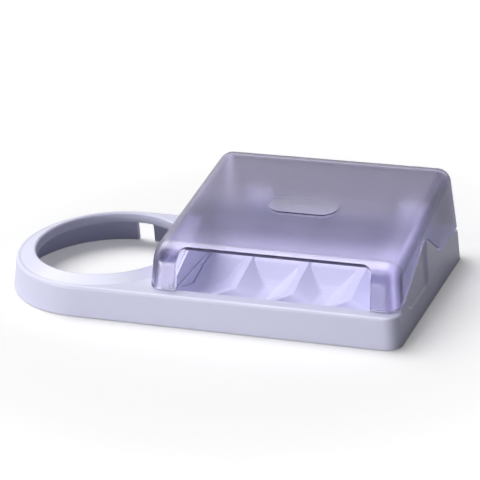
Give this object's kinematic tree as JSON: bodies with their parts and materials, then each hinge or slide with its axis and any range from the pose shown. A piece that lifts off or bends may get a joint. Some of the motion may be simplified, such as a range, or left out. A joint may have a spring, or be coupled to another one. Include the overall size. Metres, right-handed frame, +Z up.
{
  "type": "toothbrush head case",
  "caption": "Bathroom case for spare toothbrush heads with troughs under a smoky hinged lid and a ring that holds the charger.",
  "frame": {"origin": "on the surface it stands on, under the middle of the case's outline box", "axes": "+X to the right along the front, from the ring to the box; +Y to the back, where the hinge is; +Z up"},
  "size_m": [0.1822, 0.0952, 0.0418],
  "materials": {
    "white_plastic": "pale cool white, satin gloss moulding",
    "smoke_plastic": "smoky violet-grey translucent plastic, softly frosted",
    "pin_steel": "drawn wire",
    "foot_rubber": "soft matt"
  },
  "bodies": {
    "base": {"base_shell": "white_plastic", "head_tray": "white_plastic", "foot_ring": "foot_rubber", "foot_front_left": "foot_rubber", "foot_front_right": "foot_rubber", "foot_rear_left": "foot_rubber", "foot_rear_right": "foot_rubber"},
    "lid": {"lid": "smoke_plastic", "hinge_pin_left": "pin_steel", "hinge_pin_right": "pin_steel"}
  },
  "joints": [
    {"name": "lid_hinge", "type": "hinge", "parent": "base", "child": "lid", "pos_m": [0.03661, 0.04345, 0.0182], "axis": [-1, 0, 0], "range_deg": [0, 93]}
  ]
}
